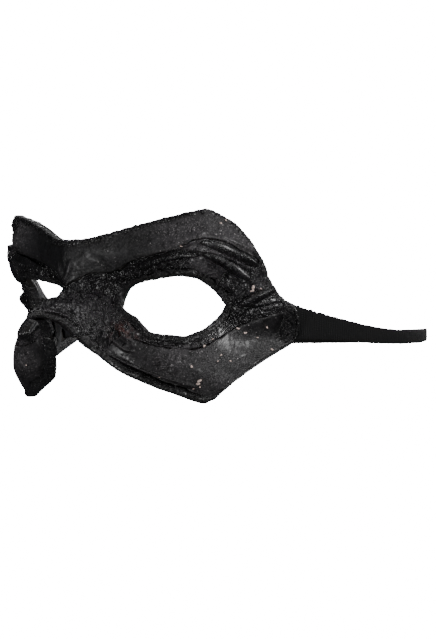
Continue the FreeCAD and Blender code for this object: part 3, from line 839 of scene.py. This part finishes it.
brow = acrossPanel("browPanel", browGrid(), {**smoothStyle, "lift": 0.35, "seed": 3})
place(brow, smoothLeather, ["brow_panel"])
noseStyle = {**crumpledStyle, "lift": 0.5, "seed": 11, "roll": 3.2, "ragged": 0.8}
nose = acrossPanel("nosePanel", noseGrid(), noseStyle)
place(nose, crumpledLeather, ["nose_panel"])
for side, sign in sides.items():
    cheekStyle = {**smoothStyle, "lift": 0.3, "seed": 21}
    cheek = slabMesh(side + "CheekPanel", *layPanel(cheekGrid(), cheekStyle, sign))
    place(cheek, smoothLeather, [side + "_cheek_panel"])
    patchStyle = {**crumpledStyle, "lift": 0.05, "seed": 31,
                  "calm": [(66.0, 15.0, 17.0, 9.0, 0.75), (62.0, -13.0, 12.0, 5.0, 0.6)]}
    patch = slabMesh(side + "EyePatch", *layPanel(patchGrid(), patchStyle, sign))
    place(patch, crumpledLeather, [side + "_eye_patch"])
    templeStyle = {"wave": 0.20, "crease": 0.18, "size": 2.6, "grain": 0.2,
                   "folds": False, "lift": 0.75, "seed": 41, "roll": 1.6, "ragged": 0.7}
    temple = slabMesh(side + "TemplePatch", *layPanel(templeGrid(), templeStyle, sign))
    place(temple, edgeLeather, [side + "_temple_patch"])
print("panels laid")

# the stretches of outline that a strip follows, how far it reaches over the outside and in behind,
# how thick and lumpy it is, and how far it is pushed out past the edge
wraps = {
    "topBinding": {"edge": ["top"], "nodes": ["top_binding"], "middle": True, "count": 340, "seed": 51,
                   "out": 2.6, "inside": 4.0, "thick": 0.75, "push": 0.25,
                   "lump": 0.42, "size": 1.9, "uneven": 0.45, "ragged": 0.35},
    "noseRim": {"edge": ["nose"], "nodes": ["nose_rim"], "middle": True, "count": 130, "seed": 52,
                "out": 2.6, "inside": 3.0, "thick": 1.1, "push": 0.2, "hand": 1.0,
                "lump": 0.22, "size": 3.0, "uneven": 0.2, "ragged": 0.12},
    "PeakTurnIn": {"edge": ["peak"], "count": 170, "seed": 53,
                   "out": 1.8, "inside": 4.5, "thick": 0.5, "push": 0.0,
                   "lump": 0.3, "size": 1.8, "uneven": 0.4, "ragged": 0.3},
    "SideTurnIn": {"edge": ["side"], "count": 130, "seed": 54,
                   "out": 1.6, "inside": 4.5, "thick": 0.5, "push": 0.0,
                   "lump": 0.4, "size": 1.8, "uneven": 0.4, "ragged": 0.4},
    "TempleTurnIn": {"edge": ["temple"], "count": 90, "seed": 57,
                     "out": 1.3, "inside": 2.6, "thick": 1.3, "push": 0.2,
                     "lump": 0.3, "size": 1.4, "uneven": 0.3, "ragged": 0.3},
    "JawTurnIn": {"edge": ["jaw"], "count": 200, "seed": 55,
                  "out": 1.0, "inside": 4.5, "thick": 0.4, "push": 0.5,
                  "lump": 0.12, "size": 2.6, "uneven": 0.3, "ragged": 0.12},
    "Hem": {"edge": ["tip", "hem"], "nodes": ["_hem"], "count": 260, "seed": 56,
            "out": 3.4, "inside": 4.5, "thick": 1.0, "push": 0.45,
            "lump": 0.25, "size": 3.2, "uneven": 0.18, "ragged": 0.15},
}
for name, style in wraps.items():
    line = joined([outline[part] for part in style["edge"]], style["count"])
    if style.get("middle"):
        line = line[::-1] if name == "noseRim" else line
        start = middleEdge(line[0, 1], line[0, 1], 1)
        line = resample(np.vstack([start, line[line[:, 0] > start[0, 0] + 0.4]]), style["count"])
        piece = carryWrap(name, line, style, 1.0, middle=True)
        place(piece, edgeLeather, style["nodes"])
        continue
    for side, sign in sides.items():
        piece = carryWrap(side + name, line, style, sign)
        place(piece, edgeLeather, [side + node for node in style.get("nodes", [])])

eyeStyle = {"out": 3.0, "inside": 3.4, "thick": 0.9, "push": 0.0, "hand": 1.0, "seed": 61,
            "lump": 0.30, "size": 2.3, "uneven": 0.35, "ragged": 0.3}
for side, sign in sides.items():
    lids = joined([upperLid, lowerLid], 461)[:-1]
    binding = carryWrap(side + "EyeBinding", lids, eyeStyle, sign, endless=True)
    place(binding, edgeLeather, [side + "_eye_binding"])
print("edges bound")

pleats = {
    "UpperPleat": {"node": "upper_pleat", "path": [(56.0, 23.2), (64.0, 21.8), (71.0, 18.6), (79.5, 14.0)],
                   "wide": 4.6, "high": 2.3, "lean": 0.50, "lump": 0.10, "seed": 71, "count": 110},
    "MiddlePleat": {"node": "middle_pleat", "path": [(56.5, 18.8), (64.0, 16.4), (70.0, 12.8), (76.5, 8.0)],
                    "wide": 4.4, "high": 2.3, "lean": 0.45, "lump": 0.12, "seed": 72, "count": 100},
    "LowerPleat": {"node": "lower_pleat", "path": [(71.5, -1.8), (78.5, 1.4), (85.8, 4.8)],
                   "wide": 4.6, "high": 2.0, "lean": 0.3, "lump": 0.3, "seed": 73, "count": 90},
    "BrowFold": {"node": "brow_fold", "path": [(29.5, 13.2), (40.0, 16.8), (48.0, 18.6), (56.0, 18.2)],
                 "wide": 3.6, "high": 1.5, "lean": -0.3, "lump": 0.25, "seed": 74, "count": 110},
}
for name, style in pleats.items():
    for side, sign in sides.items():
        piece = carryFold(side + name, style["path"], style, sign)
        place(piece, foldedLeather, [side + "_" + style["node"]])
print("pleats folded")


def liningPiece(side, sign):
    # a ring of cloth between the eye hole and the turned-in edges: each point of the hole's line is
    # joined to the one that lies in the same direction from the middle on the outer line
    inner = joined([upperLid, lowerLid], 361)
    centre = np.array([46.0, -2.0])
    inner = centre + (inner - centre) * 1.10
    outer = joined([[(2.4, 4.0), (2.2, 23.2)],
                    [(2.2, 23.2), (12.0, 23.6), (28.0, 27.4), (45.0, 31.5), (58.3, 34.2)],
                    [(58.3, 34.2), (69.0, 28.4), (75.0, 20.5), (80.0, 13.0), (82.5, 5.0), (84.4, -1.0)],
                    [(84.4, -1.0), (84.4, -9.0), (83.6, -20.0)],
                    [(83.6, -20.0), (74.0, -26.0), (59.5, -37.4)],
                    [(59.5, -37.4), (50.0, -35.6), (36.0, -31.2), (25.0, -25.8), (9.6, -14.0)],
                    [(9.6, -14.0), (5.0, -6.5), (4.0, 0.0), (2.4, 4.0)]], 1200)[:-1]
    angle = np.arctan2(inner[:, 1] - centre[1], inner[:, 0] - centre[0])
    outerAngle = np.unwrap(np.arctan2(outer[:, 1] - centre[1], outer[:, 0] - centre[0]))
    order = np.argsort(np.mod(outerAngle, 2 * np.pi))
    wheel = np.mod(outerAngle, 2 * np.pi)[order]
    at = np.mod(angle, 2 * np.pi)
    outer = np.stack([np.interp(at, wheel, outer[order, k], period=2 * np.pi) for k in (0, 1)], axis=-1)
    t = np.linspace(0.0, 1.0, 70)[None, :, None]
    grid = inner[:, None] * (1 - t) + outer[:, None] * t
    p, q = grid[..., 0], grid[..., 1]
    pucker = 0.18 * cloud(p, q, 6.0, 2, 81) * rise(t[..., 0], 0.0, 0.1) * (1.0 - rise(t[..., 0], 0.9, 1.0))
    thin = 0.45
    inside = sideOf(lay(p, q, face["liningFace"] + 0.1 - thin + pucker), sign)
    outside = sideOf(lay(p, q, face["liningFace"] + 0.1 + pucker), sign)
    rings = np.concatenate([inside[:-1], outside[:-1, ::-1]], axis=1)
    along, across = (np.concatenate([part[:-1], part[:-1, ::-1]], axis=1) for part in (p, q))
    return tubeMesh(side + "Lining", rings, True, along=along, across=across)


for side, sign in sides.items():
    lining = place(liningPiece(side, sign), liningCloth, [side + "_lining"])
print("lining in")

thread = {"front": 89.4, "rear": 92.4, "foot": -14.6, "rise": 1.9, "count": 7,
          "radius": 0.3, "high": 1.75, "arch": 0.45}


def carryThread(name, side):
    # a round thread that zigzags up the patch, arching between the holes it goes through
    holes = [(thread["front"] if k % 2 == 0 else thread["rear"], thread["foot"] + thread["rise"] * k)
             for k in range(thread["count"])]
    line = np.vstack([curveThrough([a, b], 24)[:-1] for a, b in zip(holes[:-1], holes[1:])])
    normal = pathNormals(line)
    arch = thread["arch"] * np.abs(np.sin(np.pi * np.arange(len(line)) / 23.0))[:, None]
    turn = np.linspace(0.0, 2 * np.pi, 11)[:-1][None, :]
    d = thread["radius"] * np.cos(turn)
    o = thread["high"] - 0.35 + arch + thread["radius"] * np.sin(turn)
    rings = lay(line[:, :1] + normal[:, :1] * d, line[:, 1:] + normal[:, 1:] * d, o)
    return tubeMesh(name, sideOf(rings, side))


for side, sign in sides.items():
    place(carryThread(side + "Stitches", sign), threadFinish, [side + "_strap_stitches"])

# p, q and the half width of each flake of pale paint
flakes = {
    "left": [(55.9, -31.8, 0.85), (55.4, -33.0, 0.65), (56.2, -34.2, 0.35), (77.3, 5.6, 0.75),
             (76.9, 4.2, 0.7), (64.3, 31.0, 0.5), (66.3, 32.2, 0.45), (57.7, -18.0, 0.5),
             (74.1, -12.7, 0.55), (71.2, -11.0, 0.55), (52.8, -26.1, 0.55), (64.3, -21.6, 0.4),
             (79.0, -14.7, 0.35), (85.1, -19.6, 0.5), (5.5, -0.8, 0.6), (61.0, -15.3, 0.3),
             (48.5, 21.8, 0.3), (68.0, -24.0, 0.35), (83.0, -10.5, 0.35), (70.0, 17.8, 0.3),
             (40.0, -30.5, 0.3), (22.6, 1.6, 0.35), (63.0, -24.0, 0.3), (53.6, -35.0, 0.3),
             (80.3, 5.0, 0.3)],
    "right": [(58.2, 28.6, 0.45), (57.6, 31.0, 0.4), (9.0, 6.4, 0.3), (44.0, -27.0, 0.3)],
}


def makeFlakes(name, side):
    # each flake is a low dome with an uneven outline: four rings of nine points, closed by caps
    spots = np.array(flakes[name])
    turn = np.linspace(0.0, 2 * np.pi, 10)[:-1]
    number = np.arange(len(spots))[:, None, None]
    uneven = 1.0 + 0.35 * np.sin(turn * 2.0 + number * 1.7) + 0.2 * np.sin(turn * 3.0 + number * 0.9)
    grown = np.array([1.0, 1.0, 0.75, 0.3])[None, :, None] * spots[:, 2, None, None] * uneven
    high = np.array([-0.4, 0.35, 0.7, 0.85])[None, :, None]
    p = spots[:, 0, None, None] + grown * np.cos(turn)
    q = spots[:, 1, None, None] + grown * np.sin(turn) * 0.8
    points = sideOf(lay(p, q, high), side).reshape(-1, 3)
    index = np.arange(len(points)).reshape(p.shape)
    index = np.concatenate([index, index[..., :1]], axis=-1)
    quads = quadsOf(index)[:, ::-1]
    middles = np.repeat(points.reshape(len(spots), -1, 3).mean(axis=1), index[0, :, :-1].size, axis=0)
    turned = outwards(points, quads, points - middles)
    caps = [index[:, 0, :-1], index[:, 3, :-1]]
    caps = [caps[0][:, ::-1], caps[1]] if turned is quads else [caps[0], caps[1][:, ::-1]]
    return makeMesh(name + "Flakes", points, turned, np.vstack(caps))


for side, sign in sides.items():
    place(makeFlakes(side, sign), chipFinish, [])

lump = {"at": (56.5, 33.0, -0.6), "size": (4.6, 3.6, 2.4), "rough": 0.22, "seed": 95}


def makeLump():
    # a ball pressed flat, its surface pushed in and out by creases
    across = np.linspace(0.0, np.pi, 40)[1:-1, None]
    around = np.linspace(0.0, 2 * np.pi, 61)[None, :-1]
    x, y = np.sin(across) * np.cos(around), np.sin(across) * np.sin(around)
    z = np.broadcast_to(np.cos(across), x.shape)
    rough = 1.0 + lump["rough"] * (crumple(4.0 * x + 9.0 * z, 4.0 * y, 1.7, lump["seed"]) - 0.3)
    ball = (x, y, z)
    p, q, o = (middle + size * part * rough for middle, size, part in zip(lump["at"], lump["size"], ball))
    return tubeMesh("peakLump", sideOf(lay(p, q, o), -1.0), wear=wear(rough - 1.0))


place(makeLump(), edgeLeather, [])
print("thread, flakes and lump added")

strap = {
    "route": [(64.4, 56.0), (66.3, 68.0), (68.0, 78.0), (71.6, 92.0), (74.2, 108.0), (74.0, 126.0),
              (69.0, 143.5), (59.0, 160.5), (46.0, 173.4), (24.0, 184.6), (0.0, 188.6)],
    "thick": 1.3, "split": 113.0, "sewnOffset": -4.0, "sewnFrom": 86.0, "sewnRate": 0.82,
    # y, then the heights of the lower and the upper edge
    "leftEdges": [(56.0, -16.0, 0.9), (63.0, -16.0, 0.5), (68.0, -15.9, -1.4), (78.0, -15.9, -4.2),
                  (92.0, -16.6, -7.6), (108.0, -17.7, -10.8), (126.0, -18.2, -12.5), (143.5, -18.0, -12.4),
                  (160.0, -17.3, -11.9)],
    "rightEdges": [(56.0, -16.0, 0.9), (63.0, -16.0, 0.5), (68.0, -15.9, -1.4), (78.0, -16.1, -4.2),
                   (92.0, -18.0, -6.9), (106.0, -21.0, -11.0), (124.0, -25.4, -16.4), (142.0, -25.8, -18.2),
                   (160.0, -22.6, -15.6), (174.0, -20.2, -13.8)],
    "backEdge": (-19.2, -13.5),
}


def smoothThrough(at, knots, values):
    # a curve through the values with no overshoot: eased straight runs, blurred once
    fine = np.linspace(knots[0], knots[-1], 600)
    level = np.interp(fine, knots, values)
    kernel = np.hanning(61)
    padded = np.pad(level, 30, mode="edge")
    return np.interp(at, fine, np.convolve(padded, kernel / kernel.sum(), mode="valid"))


def bandRings(side, low, high, count):
    # a flat band with rounded edges: at each place along the route its edges' heights come
    # from the side's list, and at the sewn end it lies against the inside of the temple
    route = curveThrough(strap["route"], 1500)
    gone = np.concatenate([[0.0], np.cumsum(np.hypot(*np.diff(route, axis=0).T))])
    alongY = np.array([np.interp(y, route[:, 1], gone) for y in (low, high)])
    s = np.linspace(alongY[0], alongY[1] if high < 188.0 else gone[-1], count)
    x, y = np.interp(s, gone, route[:, 0]), np.interp(s, gone, route[:, 1])
    direction = np.stack([np.gradient(x, s), np.gradient(y, s)], axis=-1)
    direction /= np.linalg.norm(direction, axis=1, keepdims=True)
    edges = np.array(strap[side + "Edges"])
    knots = np.append(np.interp(edges[:, 0], route[:, 1], gone), gone[-1])
    bottom = smoothThrough(s, knots, np.append(edges[:, 1], strap["backEdge"][0]))
    top = smoothThrough(s, knots, np.append(edges[:, 2], strap["backEdge"][1]))
    turn = np.linspace(0.0, 2 * np.pi, 57)[:-1]
    w = 0.5 - 0.5 * np.sign(np.cos(turn)) * np.abs(np.cos(turn)) ** 0.75
    c = 0.5 * np.sign(np.sin(turn)) * np.abs(np.sin(turn)) ** 0.5
    wide = (top - bottom)[:, None]
    z = bottom[:, None] + wide * w[None]
    frayed = 0.2 + 0.5 * (1.0 - rise(y, 64.0, 96.0))[:, None] * (w > 0.5)[None]
    z = z + frayed * cloud(s[:, None], w[None] * 20.0, 0.9, 3, 91) * (np.abs(2 * w - 1) ** 6)[None]
    out = strap["thick"] * c[None] + 0.10 * cloud(s[:, None], z, 1.2, 2, 92) * np.sign(c)[None]
    free = np.stack([x[:, None] + direction[:, 1:] * out, y[:, None] - direction[:, :1] * out, z], axis=-1)
    p = strap["sewnFrom"] + strap["sewnRate"] * (y[:, None] - 56.0)
    sewn = lay(p, z, strap["sewnOffset"] + out)
    settle = rise(y, 62.0, 74.0)[:, None, None]
    rings = sewn * (1.0 - settle) + free * settle
    along = np.broadcast_to(s[:, None], z.shape)
    across = z - 0.5 * (top + bottom)[:, None]
    return rings, along, across


def placeBand(name, rings, along, across, nodes):
    # a band of elastic that goes over from one body to the other between two places
    band = tubeMesh(name, rings, along=along, across=across)
    band.data.materials.append(knitElastic)
    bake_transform(band)
    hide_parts(*nodes)


for side, sign in sides.items():
    rings, along, across = bandRings(side, 56.0, strap["split"], 170)
    placeBand(side + "StrapEnd", sideOf(rings, sign), along, across,
              [side + "_strap_tab", "strap_" + side + "_run"])

leftBand = bandRings("left", strap["split"] - 0.02, 189.0, 340)
rightBand = bandRings("right", strap["split"] - 0.02, 189.0, 340)
rings = np.concatenate([leftBand[0], sideOf(rightBand[0], -1.0)[-2::-1]])
along = np.concatenate([leftBand[1], 2 * leftBand[1][-1] - rightBand[1][-2::-1]])
across = np.concatenate([leftBand[2], rightBand[2][-2::-1]])
placeBand("strapLoop", rings, along, across, ["strap_back"])
print("strap on")


def makeStage():
    # a pale floor that curves up into a wall all round: a profile turned about the vertical
    radius, floorAt, wall, bend = 3.2, -0.75, 3.0, 1.2
    turn = np.linspace(0.0, 0.5 * np.pi, 16)
    out = np.concatenate([[0.02, 0.6, 1.2], radius - bend + bend * np.sin(turn), [radius]])
    up = np.concatenate([[floorAt] * 3, floorAt + bend - bend * np.cos(turn), [floorAt + wall]])
    around = np.linspace(0.0, 2 * np.pi, 97)[:-1]
    x, y = out[:, None] * np.cos(around), out[:, None] * np.sin(around)
    points = np.stack([x, y, np.broadcast_to(up[:, None], x.shape)], axis=-1) / mm
    index = np.arange(points[..., 0].size).reshape(points.shape[:2])
    index = np.concatenate([index, index[:, :1]], axis=1)
    quads = quadsOf(index)[:, ::-1]
    floor = makeMesh("paleFloor", points.reshape(-1, 3), quads, [list(range(len(around)))[::-1]])
    finish = Finish("paleStudio", **{"Base Color": (0.9, 0.9, 0.9, 1.0), "Roughness": 0.9,
                                     "Emission Color": (1.0, 1.0, 1.0, 1.0), "Emission Strength": 20.0})
    finish.material.cycles.emission_sampling = "NONE"    # seen as white, but lights nothing
    floor.data.materials.append(finish.material)
    floor.visible_glossy = False
    floor.visible_diffuse = False


def aimAt(at, aim):
    # the turn that points a light's or the camera's -Z axis from one place at another
    return (Vector(aim) - Vector(at)).to_track_quat("-Z", "Y").to_euler()


def softLight(name, at, size, power):
    # a square or oblong panel of light that faces the middle of the mask
    lamp = bpy.data.lights.new(name, "AREA")
    lamp.shape = "RECTANGLE"
    lamp.size, lamp.size_y = size
    lamp.energy = power
    holder = bpy.data.objects.new(name, lamp)
    bpy.context.scene.collection.objects.link(holder)
    holder.location = at
    holder.rotation_euler = aimAt(at, studio["middle"])


studio = {
    "middle": (0.02, 0.05, 0.0), "air": (0.9, 0.92, 1.0, 1.0), "airStrength": 0.03,
    # place, size and power of each light
    "lights": {
        "keyLight": ((1.42, 0.60, 0.62), (0.55, 0.55), 24.0),
        "frontFill": ((0.42, -1.02, -0.32), (0.26, 0.22), 7.5),
        "topLight": ((0.50, -0.30, 1.6), (0.5, 0.4), 7.0),
        "rimLight": ((-0.9, 0.9, 1.1), (0.8, 0.8), 1.5),
        "sideFill": ((-1.42, 1.00, 0.30), (0.6, 0.6), 4.0),
        "backFill": ((-0.25, 1.25, 0.35), (0.7, 0.5), 4.0),
    },
    "camera": (0.7625, -0.6925, 0.0), "aim": (0.0301, 0.0601, -0.0077), "lens": 142.0,
}
makeStage()
for name, (at, size, power) in studio["lights"].items():
    softLight(name, at, size, power)
world = bpy.data.worlds.new("studioAir")
world.use_nodes = True
world.node_tree.nodes["Background"].inputs["Color"].default_value = studio["air"]
world.node_tree.nodes["Background"].inputs["Strength"].default_value = studio["airStrength"]
bpy.context.scene.world = world

lens = bpy.data.cameras.new("camera")
lens.lens = studio["lens"]
camera = bpy.data.objects.new("camera", lens)
camera.location = studio["camera"]
camera.rotation_euler = aimAt(studio["camera"], studio["aim"])
bpy.context.scene.collection.objects.link(camera)
bpy.context.scene.camera = camera
print("lights and camera set")
